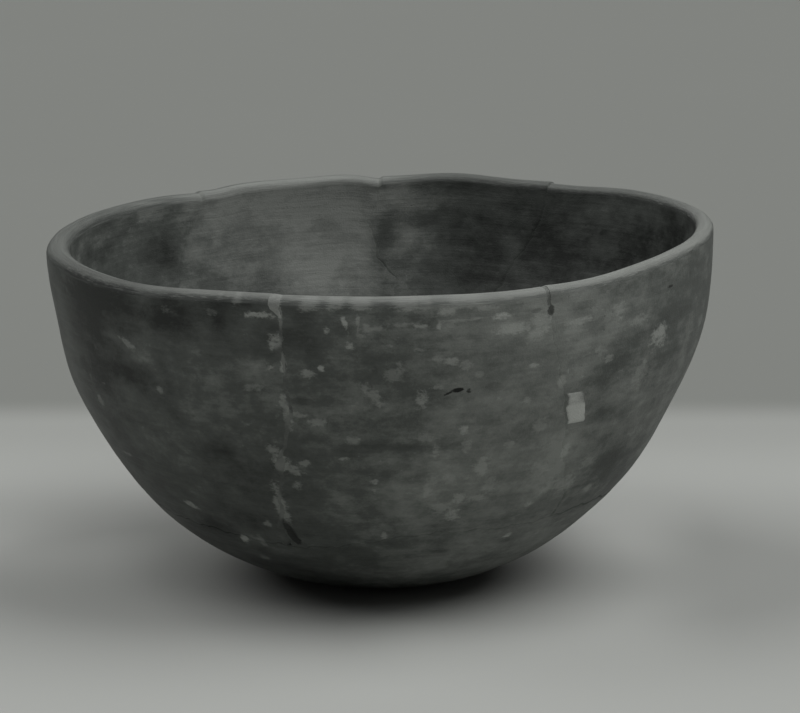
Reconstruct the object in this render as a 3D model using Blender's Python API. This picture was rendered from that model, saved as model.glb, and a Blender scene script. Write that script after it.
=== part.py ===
"""A hand-built, burnished pottery bowl, once broken and now mended.

Five wall sherds stand on one base sherd. A thin mend of filler runs down each join and round
the base, a plaster wedge makes good the chipped lip, and a plaster patch fills a shallow spall.
Metres, +Z up, the front towards -Y, the origin at the middle of the flat the bowl rests on.
Azimuths run from the front towards +X, in degrees.
"""

import math

import bpy
import numpy as np

# The vessel
RIM_RADIUS = 0.0750  # outside, where the lip begins
BOWL_HEIGHT = 0.0785  # resting face to the mean top of the lip
REST_RADIUS = 0.0160  # flat rubbed on the rounded bottom
FULLNESS_OUT = 2.295  # powers of the profile curve, across and up; 2 and 2 give an ellipse
FULLNESS_UP = 1.827
LIP_WALL = 0.0048
BASE_WALL = 0.0075
WALL_UNEVEN = 0.0007  # the wall is this much thicker on its thick side
WALL_THICK_AZIMUTH = -75.0
LIP_ROUND = 0.80  # height of the rounded lip over half its thickness
RIM_SLOPE = 0.0020  # the lip climbs this much to the right and falls as much to the left

# Swells and hollows left by the hands: azimuth, share of the height, amount, spread round,
# spread up as a share of the height
SWELLS = (
    (-90.0, 0.79, -0.0006, 30.0, 0.115),
    (-90.0, 0.61, 0.0005, 30.0, 0.076),
    (90.0, 0.73, 0.0009, 30.0, 0.115),
    (90.0, 0.51, -0.0005, 30.0, 0.076),
    (-60.0, 0.20, 0.0006, 40.0, 0.076),
    (60.0, 0.20, -0.0006, 40.0, 0.076),
)

# High and low places of each sherd's lip: azimuth, rise, spread
LIP_FRONT_LEFT = ((-146.0, -0.0008, 5.0), (-47.0, -0.0005, 9.0), (-23.0, 0.0005, 9.0))
LIP_FRONT = ((-8.0, 0.0004, 10.0), (24.0, -0.0004, 8.0))
LIP_RIGHT = ((34.0, -0.0005, 10.0), (88.0, 0.0014, 20.0), (142.0, -0.0010, 7.0))
LIP_BACK_RIGHT = ((153.0, -0.0004, 5.0), (166.0, 0.0008, 6.0))
LIP_BACK_LEFT = (
    (179.0, -0.0010, 3.0),
    (187.0, 0.0004, 5.0),
    (206.0, 0.0002, 6.0),
    (213.0, -0.0004, 2.5),
)

# Joins between the sherds: height as a share of the bowl's, azimuth
JOIN_FRONT_LEFT = (
    (0.204, -24.8),
    (0.268, -23.4),
    (0.338, -21.5),
    (0.408, -20.1),
    (0.510, -18.7),
    (0.605, -16.5),
    (0.662, -15.5),
    (0.764, -15.9),
    (0.917, -16.3),
    (1.019, -16.6),
)
JOIN_FRONT_RIGHT = (
    (0.204, 45.5),
    (0.369, 43.0),
    (0.478, 38.2),
    (0.561, 36.2),
    (0.599, 35.8),
    (0.739, 32.7),
    (0.803, 31.3),
    (0.943, 29.0),
    (1.019, 28.3),
)
JOIN_BACK_RIGHT = ((0.204, 166.0), (0.433, 160.5), (0.688, 154.3), (0.866, 147.7), (1.019, 145.5))
JOIN_BACK = (
    (0.204, 186.0),
    (0.382, 177.0),
    (0.675, 176.3),
    (0.745, 180.0),
    (0.866, 181.8),
    (1.019, 178.5),
)
JOIN_BACK_LEFT = ((0.204, 238.0), (0.459, 230.0), (0.726, 224.5), (0.866, 220.5), (1.019, 213.5))

# The break round the base sherd: mean height, then waves as amount, count round, azimuth
BREAK_HEIGHT = 0.0210
BREAK_WAVES = ((0.0022, 2, 75.0), (0.0014, 3, 20.0), (0.0008, 7, 60.0))

# Mends
JOIN_WIDTH = 0.0012  # from sherd to sherd
MEND_CLEARANCE = 0.00032  # each side of the filler
MEND_SUNK = 0.00020  # filler below the faces of the wall
CHIP_DEPTH = 0.0030  # lost corner of the lip at the front left join
CHIP_LEFT = 0.0024
CHIP_RIGHT = 0.0009
CORNER_LOSS_WIDTH = 0.0016  # lost lower corner of the front sherd, left open
CORNER_LOSS_HEIGHT = 0.0070
NICK_DEPTH = 0.0012  # open nick in the lip at the front right join
NICK_WIDTH = 0.0007
SPALL_LOW = 0.0465  # patched spall beside the front right join
SPALL_HIGH = 0.0545
SPALL_WIDTH = 0.0048
SPALL_DEPTH = 0.0018
PATCH_PROUD = 0.00010

# Fineness of the meshes
COLUMN_STEP = 3.75
WALL_ROWS = 13
LIP_POINTS = 5
BASE_COLUMNS = 80
BASE_ROWS = 5

# Derived
LIP_RISE = LIP_ROUND * LIP_WALL / 2
SPRING_HEIGHT = BOWL_HEIGHT - LIP_RISE
_rest_share = 1 - (1 - (REST_RADIUS / RIM_RADIUS) ** FULLNESS_OUT) ** (1 / FULLNESS_UP)
CURVE_DEPTH = SPRING_HEIGHT / (1 - _rest_share)
REST_DROP = CURVE_DEPTH - SPRING_HEIGHT
SHERD_BACK = JOIN_WIDTH / 2
MEND_HALF = JOIN_WIDTH / 2 - MEND_CLEARANCE


def clear_scene():
    for thing in list(bpy.data.objects):
        bpy.data.objects.remove(thing)


def curve_radius(t):
    return RIM_RADIUS * np.sin(t * math.pi / 2) ** (2 / FULLNESS_OUT)


def curve_height(t):
    cosine = np.maximum(np.cos(t * math.pi / 2), 0.0)
    return CURVE_DEPTH * (1 - cosine ** (2 / FULLNESS_UP)) - REST_DROP


def share_at_height(height):
    """The place along the profile, from 0 at the pole to 1 at the lip, that is this high."""
    left = np.clip(1 - (height + REST_DROP) / CURVE_DEPTH, 0.0, 1.0)
    return np.arccos(left ** (FULLNESS_UP / 2)) / (math.pi / 2)


def share_step(t, length):
    """How far along the profile a length of wall near t reaches."""
    low = np.clip(t - 0.01, 0.001, 0.98)
    high = low + 0.02
    along = np.hypot(
        curve_radius(high) - curve_radius(low), curve_height(high) - curve_height(low)
    )
    return length * 0.02 / along


def bell(away, spread):
    return np.exp(-((away / spread) ** 2) / 2)


def turn_between(azimuth, middle):
    return (azimuth - middle + 180.0) % 360.0 - 180.0


def lip_rise(azimuth, lip_rises):
    rise = RIM_SLOPE * np.sin(np.radians(azimuth))
    for place, amount, around in lip_rises:
        rise = rise + amount * bell(turn_between(azimuth, place), around)
    return rise


def risen(height, azimuth, lip_rises):
    """A height of the level profile, moved up or down with the lip above it."""
    return height + lip_rise(azimuth, lip_rises) * np.clip(height / SPRING_HEIGHT, 0.0, 1.0) ** 3


def level_at(height):
    """A level course round the wall: its place along the profile at each azimuth."""

    def level(azimuth, lip_rises):
        plain = height
        for _ in range(6):
            plain = height - (risen(plain, azimuth, lip_rises) - plain)
        return share_at_height(plain)

    return level


def wall_at(azimuth, t, lip_rises):
    """Outer points, outward normals, upward tangents and wall thickness."""
    height = curve_height(t)
    radius = curve_radius(t)
    across = (radius / RIM_RADIUS) ** (FULLNESS_OUT - 1) * FULLNESS_OUT / RIM_RADIUS
    left = np.clip(1 - (height + REST_DROP) / CURVE_DEPTH, 0.0, 1.0)
    down = left ** (FULLNESS_UP - 1) * FULLNESS_UP / CURVE_DEPTH
    length = np.hypot(across, down)
    across = across / length
    down = down / length
    for place, level, amount, around, up in SWELLS:
        radius = radius + amount * bell(turn_between(azimuth, place), around) * bell(
            height / BOWL_HEIGHT - level, up
        )
    height = risen(height, azimuth, lip_rises)
    sine = np.sin(np.radians(azimuth))
    cosine = np.cos(np.radians(azimuth))
    points = np.stack([radius * sine, -radius * cosine, height], -1)
    normals = np.stack([across * sine, -across * cosine, -down], -1)
    tangents = np.stack([down * sine, -down * cosine, across], -1)
    uneven = WALL_UNEVEN * np.cos(np.radians(azimuth - WALL_THICK_AZIMUTH))
    wall = LIP_WALL + (BASE_WALL - LIP_WALL) * (1 - t) ** 1.2 + uneven * t
    return points, normals, tangents, wall


def break_height(azimuth):
    height = BREAK_HEIGHT
    for amount, count, place in BREAK_WAVES:
        height = height + amount * np.cos(np.radians(count * (azimuth - place)))
    return height


def break_share(azimuth):
    """The place along the profile of the break round the base."""
    return share_at_height(break_height(azimuth))


def side_of(join, lengths):
    """An edge beside a join: its azimuth at each height. lengths(height) is how far to the right."""
    levels = np.array([point[0] for point in join]) * BOWL_HEIGHT
    turns = np.array([point[1] for point in join])

    def edge(height):
        middle = np.interp(height, levels, turns)
        return middle + np.degrees(lengths(height) / curve_radius(share_at_height(height)))

    return edge


def grown(height, start, end):
    return np.clip((height - start) / (end - start), 0.0, 1.0)


def make_object(name, points, faces, material):
    mesh = bpy.data.meshes.new(name)
    mesh.from_pydata([tuple(point) for point in points], [], faces)
    mesh.validate()
    mesh.materials.append(material)
    body = bpy.data.objects.new(name, mesh)
    bpy.context.scene.collection.objects.link(body)
    return body


def make_material(name, colour, roughness):
    material = bpy.data.materials.new(name)
    material.use_nodes = True
    shader = material.node_tree.nodes["Principled BSDF"]
    shader.inputs["Base Color"].default_value = (*colour, 1.0)
    shader.inputs["Roughness"].default_value = roughness
    return material


def wall_piece(
    name,
    left,
    right,
    levels,
    lip_rises,
    material,
    columns,
    sunk=0.0,
    lip=True,
    deep=None,
    ring=False,
):
    """A piece of the wall between two edges, closed all round.

    left and right give an azimuth at each height. levels are the courses of points from the
    bottom up, each a place along the profile at each azimuth. sunk draws the outer and inner
    face in. deep, where given, is how far the inner face lies under the outer one, and
    otherwise the piece is as thick as the wall. lip rounds the top over. ring closes the
    piece on itself.
    """
    spans = np.linspace(0.0, 1.0, columns + 1)
    if ring:
        spans = spans[:-1]
    t = np.full((len(levels), len(spans)), 0.8)
    azimuth = np.full_like(t, 0.0)
    for _ in range(8):
        height = risen(curve_height(t), azimuth, lip_rises)
        azimuth = left(height) * (1 - spans) + right(height) * spans
        t = np.array([level(turns, lip_rises) for level, turns in zip(levels, azimuth)])
    points, normals, tangents, wall = wall_at(azimuth, t, lip_rises)
    wall = wall[..., None]
    outer = points - normals * sunk
    inner = points - normals * (wall - sunk if deep is None else deep)
    layers = list(outer)
    if lip:
        middle = (outer[-1] + inner[-1]) / 2
        half = wall[-1] / 2 - sunk
        rise = LIP_ROUND * wall[-1] / 2 - sunk
        for step in range(1, LIP_POINTS + 1):
            turn = math.pi * step / (LIP_POINTS + 1)
            layers.append(
                middle + normals[-1] * half * math.cos(turn) + tangents[-1] * rise * math.sin(turn)
            )
    layers += list(inner[::-1])
    layers = np.array(layers)
    count, wide = layers.shape[:2]
    last = wide if ring else wide - 1
    faces = []
    for i in range(count):
        for k in range(last):
            here = i * wide
            above = (i + 1) % count * wide
            beside = (k + 1) % wide
            faces.append((here + k, here + beside, above + beside, above + k))
    if not ring:
        high = len(levels)
        for k, turned in ((0, False), (wide - 1, True)):
            ends = []
            for i in range(high - 1):
                ends.append((i, i + 1, count - 2 - i, count - 1 - i))
            ends.append(tuple(range(high - 1, count - high + 1)))
            for end in ends:
                if len(end) < 3:
                    continue
                face = tuple(i * wide + k for i in end)
                faces.append(face[::-1] if turned else face)
    return make_object(name, layers.reshape(-1, 3), faces, material)


def base_piece(name, edge, material):
    """The bottom of the bowl, round to its break, with the flat that it rests on."""
    azimuth = np.arange(BASE_COLUMNS) * 360.0 / BASE_COLUMNS
    rest = share_at_height(0.0)
    limit = edge(azimuth)
    levels = [np.full(BASE_COLUMNS, rest * 0.5), np.full(BASE_COLUMNS, rest)]
    for step in range(1, BASE_ROWS + 1):
        levels.append(rest + (limit - rest) * step / BASE_ROWS)
    t = np.array(levels)
    points, normals, _, wall = wall_at(azimuth[None, :] + 0 * t, t, ())
    inner = points - normals * wall[..., None]
    outer = points.copy()
    outer[..., 2] = np.maximum(outer[..., 2], 0.0)
    outer[:2, :, 2] = 0.0
    rows = len(t)
    everything = [*outer.reshape(-1, 3), *inner.reshape(-1, 3)]
    everything += [np.zeros(3), np.array([0.0, 0.0, BASE_WALL - REST_DROP])]
    under = len(everything) - 2
    faces = []
    for k in range(BASE_COLUMNS):
        beside = (k + 1) % BASE_COLUMNS
        for i in range(rows - 1):
            a = i * BASE_COLUMNS
            b = a + BASE_COLUMNS
            faces.append((a + k, a + beside, b + beside, b + k))
            a += rows * BASE_COLUMNS
            b += rows * BASE_COLUMNS
            faces.append((b + k, b + beside, a + beside, a + k))
        brim = (rows - 1) * BASE_COLUMNS
        inside = rows * BASE_COLUMNS
        faces.append((brim + k, brim + beside, inside + brim + beside, inside + brim + k))
        faces.append((under, beside, k))
        faces.append((under + 1, inside + k, inside + beside))
    return make_object(name, everything, faces, material)


def face_out(body):
    mesh = body.data
    corners = np.array([vertex.co[:] for vertex in mesh.vertices])
    mesh.calc_loop_triangles()
    triangles = corners[np.array([triangle.vertices[:] for triangle in mesh.loop_triangles])]
    if np.linalg.det(triangles).sum() < 0:
        mesh.flip_normals()


clear_scene()

CLAY_COLOURS = {
    "front_left": (0.052, 0.056, 0.052),
    "front": (0.066, 0.071, 0.066),
    "right": (0.060, 0.065, 0.060),
    "back_right": (0.046, 0.050, 0.046),
    "back_left": (0.076, 0.081, 0.076),
    "base": (0.056, 0.060, 0.056),
}
clay = {
    place: make_material("burnished_clay_" + place, colour, 0.55)
    for place, colour in CLAY_COLOURS.items()
}
filler = make_material("mend_filler", (0.20, 0.21, 0.20), 0.9)
plaster = make_material("plaster", (0.33, 0.34, 0.32), 0.9)
dark_filler = make_material("toned_filler", (0.070, 0.074, 0.070), 0.85)

# Heights where the lip begins to open for the chip and the nick
chip_start = SPRING_HEIGHT - CHIP_DEPTH
nick_start = SPRING_HEIGHT - NICK_DEPTH
corner_start = break_height(side_of(JOIN_FRONT_LEFT, np.zeros_like)(BREAK_HEIGHT))
corner_end = corner_start + CORNER_LOSS_HEIGHT


def back(height):
    return SHERD_BACK + 0 * height


def chip_left_edge(height):
    return -back(height) - CHIP_LEFT * grown(height, chip_start, SPRING_HEIGHT)


def chip_right_edge(height):
    lost = CORNER_LOSS_WIDTH * (1 - grown(height, corner_start, corner_end))
    return back(height) + CHIP_RIGHT * grown(height, chip_start, SPRING_HEIGHT) + lost


def nick_left_edge(height):
    return -back(height) - NICK_WIDTH * grown(height, nick_start, SPRING_HEIGHT)


def nick_right_edge(height):
    return back(height) + NICK_WIDTH * grown(height, nick_start, SPRING_HEIGHT)


def lip_line(azimuth, lip_rises):
    return np.ones_like(azimuth)


def beside_break(length):
    """The course this far above the break round the base."""

    def level(azimuth, lip_rises):
        middle = break_share(azimuth)
        return middle + share_step(middle, length)

    return level


def part_way(low, high, share):
    return lambda azimuth, rises: low(azimuth, rises) * (1 - share) + high(azimuth, rises) * share


def courses(low, high, count):
    return [part_way(low, high, step / count) for step in range(count + 1)]


above_break = beside_break(SHERD_BACK)
chip_levels = courses(level_at(chip_start), level_at(nick_start), 2)
wall_levels = courses(above_break, level_at(chip_start), WALL_ROWS)[:-1] + chip_levels + [lip_line]


def columns_over(degrees):
    return max(2, round(degrees / COLUMN_STEP))


def turned_round(edge):
    return lambda height: edge(height) - 360.0


# The five wall sherds, each standing on the base break
sherd_front_left = wall_piece(
    "wall_sherd_front_left",
    turned_round(side_of(JOIN_BACK_LEFT, back)),
    side_of(JOIN_FRONT_LEFT, chip_left_edge),
    wall_levels,
    LIP_FRONT_LEFT,
    clay["front_left"],
    columns_over(JOIN_FRONT_LEFT[-1][1] - JOIN_BACK_LEFT[-1][1] + 360.0),
)
sherd_front = wall_piece(
    "wall_sherd_front",
    side_of(JOIN_FRONT_LEFT, chip_right_edge),
    side_of(JOIN_FRONT_RIGHT, nick_left_edge),
    wall_levels,
    LIP_FRONT,
    clay["front"],
    columns_over(JOIN_FRONT_RIGHT[-1][1] - JOIN_FRONT_LEFT[-1][1]),
)
sherd_right = wall_piece(
    "wall_sherd_right",
    side_of(JOIN_FRONT_RIGHT, nick_right_edge),
    side_of(JOIN_BACK_RIGHT, lambda height: -back(height)),
    wall_levels,
    LIP_RIGHT,
    clay["right"],
    columns_over(JOIN_BACK_RIGHT[-1][1] - JOIN_FRONT_RIGHT[-1][1]),
)
sherd_back_right = wall_piece(
    "wall_sherd_back_right",
    side_of(JOIN_BACK_RIGHT, back),
    side_of(JOIN_BACK, lambda height: -back(height)),
    wall_levels,
    LIP_BACK_RIGHT,
    clay["back_right"],
    columns_over(JOIN_BACK[-1][1] - JOIN_BACK_RIGHT[-1][1]),
)
sherd_back_left = wall_piece(
    "wall_sherd_back_left",
    side_of(JOIN_BACK, back),
    side_of(JOIN_BACK_LEFT, lambda height: -back(height)),
    wall_levels,
    LIP_BACK_LEFT,
    clay["back_left"],
    columns_over(JOIN_BACK_LEFT[-1][1] - JOIN_BACK[-1][1]),
)

# The base sherd, which carries the whole bowl
base_sherd = base_piece(
    "base_sherd",
    lambda azimuth: beside_break(-SHERD_BACK)(azimuth, ()),
    clay["base"],
)

# The toned filler round the base
base_mend = wall_piece(
    "mend_base_ring",
    lambda height: 0.0 * height,
    lambda height: 0.0 * height + 360.0,
    [beside_break(-MEND_HALF), beside_break(MEND_HALF)],
    (),
    dark_filler,
    round(360.0 / COLUMN_STEP),
    sunk=MEND_SUNK,
    lip=False,
    ring=True,
)


def halfway(first, second):
    """The lip between two neighbours' lips."""
    return tuple((place, amount / 2, around) for place, amount, around in first + second)


def mend(name, join, neighbours, material, top=None):
    """A strip of filler in a join, up to the lip or to a lower course."""
    levels = wall_levels
    if top is not None:
        levels = courses(above_break, top, WALL_ROWS)
    return wall_piece(
        name,
        side_of(join, lambda height: 0 * height - MEND_HALF),
        side_of(join, lambda height: 0 * height + MEND_HALF),
        levels,
        halfway(*neighbours),
        material,
        1,
        sunk=MEND_SUNK,
        lip=top is None,
    )


# Strips of filler in the upright joins
mend_front_left = mend(
    "mend_front_left",
    JOIN_FRONT_LEFT,
    (LIP_FRONT_LEFT, LIP_FRONT),
    filler,
    level_at(chip_start - MEND_CLEARANCE),
)
mend_front_right = mend(
    "mend_front_right",
    JOIN_FRONT_RIGHT,
    (LIP_FRONT, LIP_RIGHT),
    dark_filler,
    level_at(nick_start),
)
mend_back_right = mend(
    "mend_back_right", JOIN_BACK_RIGHT, (LIP_RIGHT, LIP_BACK_RIGHT), dark_filler
)
mend_back = mend("mend_back", JOIN_BACK, (LIP_BACK_RIGHT, LIP_BACK_LEFT), dark_filler)
mend_back_left = mend(
    "mend_back_left", JOIN_BACK_LEFT, (LIP_BACK_LEFT, LIP_FRONT_LEFT), dark_filler
)

# The plaster wedge that makes good the chipped lip
lip_wedge = wall_piece(
    "lip_wedge_plaster",
    side_of(JOIN_FRONT_LEFT, lambda height: chip_left_edge(height) + MEND_CLEARANCE),
    side_of(
        JOIN_FRONT_LEFT,
        lambda height: back(height)
        + CHIP_RIGHT * grown(height, chip_start, SPRING_HEIGHT)
        - MEND_CLEARANCE,
    ),
    chip_levels + [lip_line],
    halfway(LIP_FRONT_LEFT, LIP_FRONT),
    plaster,
    2,
)


def patch_block(name, low, high, start, end, proud, deep, material):
    """A block under the outer face, on the right of the front right join."""
    return wall_piece(
        name,
        side_of(JOIN_FRONT_RIGHT, lambda height: 0 * height + start),
        side_of(JOIN_FRONT_RIGHT, lambda height: 0 * height + end),
        courses(level_at(low), level_at(high), 4),
        LIP_RIGHT,
        material,
        3,
        sunk=-proud,
        lip=False,
        deep=deep,
    )


# The shallow spall at the edge of the right sherd, and the plaster patch in it
spall_cutter = patch_block(
    "spall_cutter",
    SPALL_LOW,
    SPALL_HIGH,
    0.0,
    SHERD_BACK + SPALL_WIDTH,
    0.0010,
    SPALL_DEPTH,
    plaster,
)
spall_cutter.hide_render = True
spall = sherd_right.modifiers.new("spall", "BOOLEAN")
spall.operation = "DIFFERENCE"
spall.solver = "EXACT"
spall.object = spall_cutter
spall_patch = patch_block(
    "spall_patch_plaster",
    SPALL_LOW + MEND_CLEARANCE,
    SPALL_HIGH - MEND_CLEARANCE,
    SHERD_BACK,
    SHERD_BACK + SPALL_WIDTH - MEND_CLEARANCE,
    PATCH_PROUD,
    SPALL_DEPTH - MEND_CLEARANCE,
    plaster,
)

for body in bpy.data.objects:
    face_out(body)
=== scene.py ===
"""The looks of a hand-built, burnished pottery bowl, once broken and now mended.

Metres, +Z up, the front towards -Y. Azimuths run from the front towards +X, in degrees.
Each section is one piece or group of like pieces, in the order in which the bowl goes together.
"""

import math

import bpy
import numpy as np
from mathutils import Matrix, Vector

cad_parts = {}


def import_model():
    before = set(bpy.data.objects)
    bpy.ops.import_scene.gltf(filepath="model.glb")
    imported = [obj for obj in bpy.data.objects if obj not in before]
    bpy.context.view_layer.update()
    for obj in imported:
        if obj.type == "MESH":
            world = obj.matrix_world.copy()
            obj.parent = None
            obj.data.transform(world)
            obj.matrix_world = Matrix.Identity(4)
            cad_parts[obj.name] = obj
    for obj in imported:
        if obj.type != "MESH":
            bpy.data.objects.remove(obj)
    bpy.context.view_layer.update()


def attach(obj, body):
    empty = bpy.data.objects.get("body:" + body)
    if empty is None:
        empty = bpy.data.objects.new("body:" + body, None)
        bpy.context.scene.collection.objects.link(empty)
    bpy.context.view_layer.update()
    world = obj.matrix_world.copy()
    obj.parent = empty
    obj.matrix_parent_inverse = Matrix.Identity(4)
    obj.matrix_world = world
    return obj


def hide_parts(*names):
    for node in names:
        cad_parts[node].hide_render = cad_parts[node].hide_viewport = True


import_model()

# Base sherd
# The rounded bottom of the bowl: one thick piece of dark clay, fired in smoke and rubbed with a
# pebble, with a small flat worn under it. All the wall sherds stand on the break round it.
RIM_RADIUS = 0.0750
BOWL_HEIGHT = 0.0785
REST_RADIUS = 0.0160
FULLNESS_OUT = 2.295
FULLNESS_UP = 1.827
LIP_WALL = 0.0048
BASE_WALL = 0.0075
WALL_UNEVEN = 0.0007
WALL_THICK_AZIMUTH = -75.0
LIP_ROUND = 0.80
LIP_RISE = LIP_ROUND * LIP_WALL / 2
SPRING_HEIGHT = BOWL_HEIGHT - LIP_RISE
REST_SHARE = 1 - (1 - (REST_RADIUS / RIM_RADIUS) ** FULLNESS_OUT) ** (1 / FULLNESS_UP)
CURVE_DEPTH = SPRING_HEIGHT / (1 - REST_SHARE)
REST_DROP = CURVE_DEPTH - SPRING_HEIGHT
PROFILE_LENGTH = 0.118
INNER_SHIFT = 0.31
# Where the hands pushed the wall: azimuth, share of the height, how far out, reach round and up
SWELLS = (
    (-90.0, 0.79, -0.0006, 30.0, 0.115),
    (-90.0, 0.61, 0.0005, 30.0, 0.076),
    (90.0, 0.73, 0.0009, 30.0, 0.115),
    (90.0, 0.51, -0.0005, 30.0, 0.076),
    (-60.0, 0.20, 0.0006, 40.0, 0.076),
    (60.0, 0.20, -0.0006, 40.0, 0.076),
)
BREAK_HEIGHT = 0.0210
# The rises of the break round the base: how high, how many round the bowl, and where
BREAK_WAVES = (
    (0.0022, 2, 75.0), (0.0014, 3, 20.0), (0.0008, 7, 60.0), (0.00026, 37, 4.0),
    (0.00015, 81, 1.0), (0.00009, 131, 2.0),
)
BREAK_GAP = 0.00012
BASE_REACH = 0.045
BASE_COLUMNS = 520
BASE_ROWS = 58
EDGE_STEPS = (0.0, 0.00012, 0.00028, 0.0005, 0.0008, 0.0012)


def curve_radius(t):
    return RIM_RADIUS * np.sin(t * math.pi / 2) ** (2 / FULLNESS_OUT)


def curve_height(t):
    cosine = np.maximum(np.cos(t * math.pi / 2), 0.0)
    return CURVE_DEPTH * (1 - cosine ** (2 / FULLNESS_UP)) - REST_DROP


def share_at_height(height):
    """The place along the profile, from 0 at the pole to 1 at the lip, that is this high."""
    left = np.clip(1 - (height + REST_DROP) / CURVE_DEPTH, 0.0, 1.0)
    return np.arccos(left ** (FULLNESS_UP / 2)) / (math.pi / 2)


def share_step(t, length):
    """How far along the profile a length of wall near t reaches."""
    low = np.clip(t - 0.01, 0.001, 0.98)
    high = low + 0.02
    along = np.hypot(
        curve_radius(high) - curve_radius(low), curve_height(high) - curve_height(low)
    )
    return length * 0.02 / along


def bell(away, spread):
    return np.exp(-((away / spread) ** 2) / 2)


def turn_between(azimuth, middle):
    return (azimuth - middle + 180.0) % 360.0 - 180.0


def swell_at(azimuth, t):
    """How far the hands pushed the wall out or in here."""
    share = curve_height(t) / BOWL_HEIGHT
    return sum(
        amount * bell(turn_between(azimuth, place), around) * bell(share - level, up)
        for place, level, amount, around, up in SWELLS
    )


def wander(length, seed, waves=((0.0090, 0.26), (0.0041, 0.15), (0.0019, 0.09), (0.0010, 0.05))):
    """The ragged course of a break, in shares of a millimetre, from a few waves."""
    draw = np.random.default_rng(seed)
    course = 0.0 * length
    for wave, amount in waves:
        course = course + amount * np.sin(length * 2 * math.pi / wave + draw.uniform(0, 6.28))
    return course * 0.001


def break_share(azimuth):
    """The place along the profile of the break round the base."""
    height = BREAK_HEIGHT
    for amount, count, place in BREAK_WAVES:
        height = height + amount * np.cos(np.radians(count * (azimuth - place)))
    return share_at_height(height)


DEEPEST_SHADE = 1.1
# Marks on the faces: azimuth, height, half width and half height in millimetres, strength in
# percent and, where a mark leans, by how many degrees. The shades are soft; the pale and dark
# marks have an edge. Most shades and pale marks are stains that use and burial left; the
# broadest shades are painted light and shade, and the dark marks are painted shade in small
# holes, cracks and the lost corner at the foot of the front left join.
OUTSIDE_STAINS_AND_PAINTED_LIGHT = (
    # Painted shade on the outside's left: the broad marks at (-62, 50), (-61.5, 70.5), (-40.9,
    # 71.8)
    (12, 12, 24, 5, 40), (-62, 50, 20, 34, -30), (-61.1, 64.4, 4.9, 2.6, -33),
    (-60.3, 61, 7, 12.5, -52), (-61.5, 70.5, 10, 7, -72), (-58, 58, 2.5, 3.1, -54),
    (-51.9, 65.3, 3.2, 2.2, 41, -25), (-50.3, 56.4, 9, 2.8, -60, -8),
    (-48.4, 73.5, 2.8, 2.8, -77), (-44.5, 61.6, 2.9, 2, 51), (-44, 11.4, 11.9, 3.7, -54, -25),
    (-42.7, 19.7, 3.4, 3.1, -54), (-40.9, 71.8, 16.4, 3.7, -60), (-40.8, 74.3, 2.7, 1.4, 26),
    (-39.1, 37.8, 8.2, 5.4, 17, -20), (-36.2, 70.4, 3.4, 3.2, -65, -30),
    (-35.3, 50.2, 2.3, 3.5, 29, 25), (-33.8, 67.3, 6, 5.1, 23), (-29.5, 42.4, 1.8, 1.5, -33),
    (-29.1, 37.5, 8, 7, -42, -20), (-28.8, 24, 4.8, 2.1, -65, -10), (-27.1, 72.2, 1.5, 2, -48),
    (-26.2, 9.2, 7.3, 5.1, -51, -10), (-23.1, 76.4, 6.1, 0.93, -43), (-21, 61.9, 1.9, 2.1, 32),
    (-19.5, 65.7, 2.2, 1.1, -43), (-12.9, 70.3, 3, 3.1, -41), (-12.1, 18.6, 5.6, 4.2, -17),
    (-8.2, 59.2, 3, 2.1, -17), (-6.9, 31.3, 2.6, 3.7, 23), (-2.3, 66.7, 2.1, 1.3, -17),
    (-1.2, 14.3, 6.1, 3.3, -43), (-0.8, 44.2, 5.1, 1.2, -41), (6.5, 74.2, 8.5, 0.86, -17),
    (9.1, 44.4, 10.9, 0.72, -22), (9.8, 35, 8.8, 4.1, 32), (13.1, 16.4, 3.2, 1.6, -22),
    (13.2, 50.5, 19.9, 18.6, 20), (14, 69.5, 8.6, 4.8, 17), (19.4, 38, 5.8, 5.5, 22),
    (20.8, 70.3, 3.6, 1.7, 51, 5), (21, 54.3, 9.2, 9.1, 17), (23.3, 75, 10.5, 1.5, 35),
    (26.7, 70.8, 2.4, 2.6, 43), (27.1, 70.7, 9.8, 3, 20), (29.5, 63.2, 7.2, 6.2, 26),
    (34.2, 35.4, 6.2, 4.7, 58), (34.6, 14.5, 4.6, 3.6, -29, 20), (35.6, 41.7, 3.5, 2.5, 43),
    # Painted light on the outside's right: the broad mark at (44, 46)
    (41.4, 54.7, 2.5, 2.1, -36), (43.7, 57.8, 3.3, 2.8, -43, 30), (44, 46, 26, 28, 40),
    (44.1, 47.8, 2.7, 1.7, -43), (47.8, 63.5, 4.3, 2.7, -51), (48.6, 71.5, 10.6, 3, 22, 10),
    (53.9, 34.4, 6.8, 4.1, -58, -30), (60.2, 66.8, 9.3, 1.8, -22), (61.2, 57.9, 4, 2.2, -43),
)
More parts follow.
